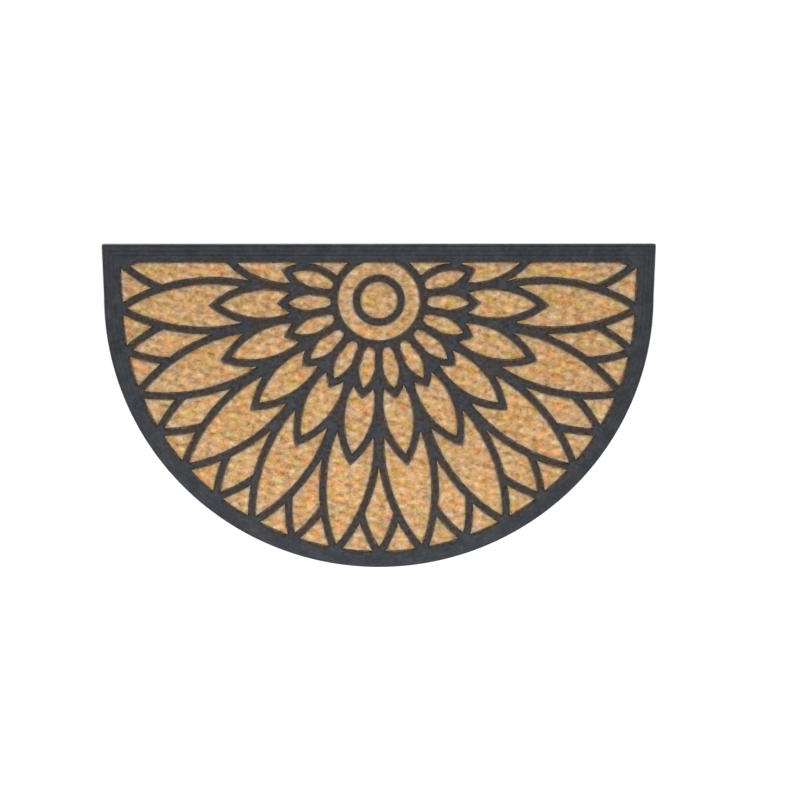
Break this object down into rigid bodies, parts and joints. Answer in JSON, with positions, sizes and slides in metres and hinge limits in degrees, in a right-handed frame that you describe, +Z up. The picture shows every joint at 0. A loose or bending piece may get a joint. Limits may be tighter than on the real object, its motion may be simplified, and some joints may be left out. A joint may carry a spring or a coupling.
{
  "type": "half-round coir doormat",
  "caption": "Flat half-round doormat: a ribbed, bevelled rubber border with an openwork lattice of radiating petals, filled with trimmed coir pile.",
  "frame": {"origin": "middle of the bounding box on the underside, where the mat meets the floor", "axes": "+X along the straight back edge, +Y from the arc towards the straight back edge, +Z up out of the pile"},
  "size_m": [0.7498, 0.445, 0.0095],
  "materials": {
    "rubber": "matt moulded rubber, charcoal with a slight blue cast",
    "coir": "trimmed coir fibre, golden tan with darker and paler flecks"
  },
  "bodies": {
    "root": {"rubber_moulding": "rubber", "rubber_eye_ring": "rubber", "coir_panel": "coir"}
  },
  "joints": []
}
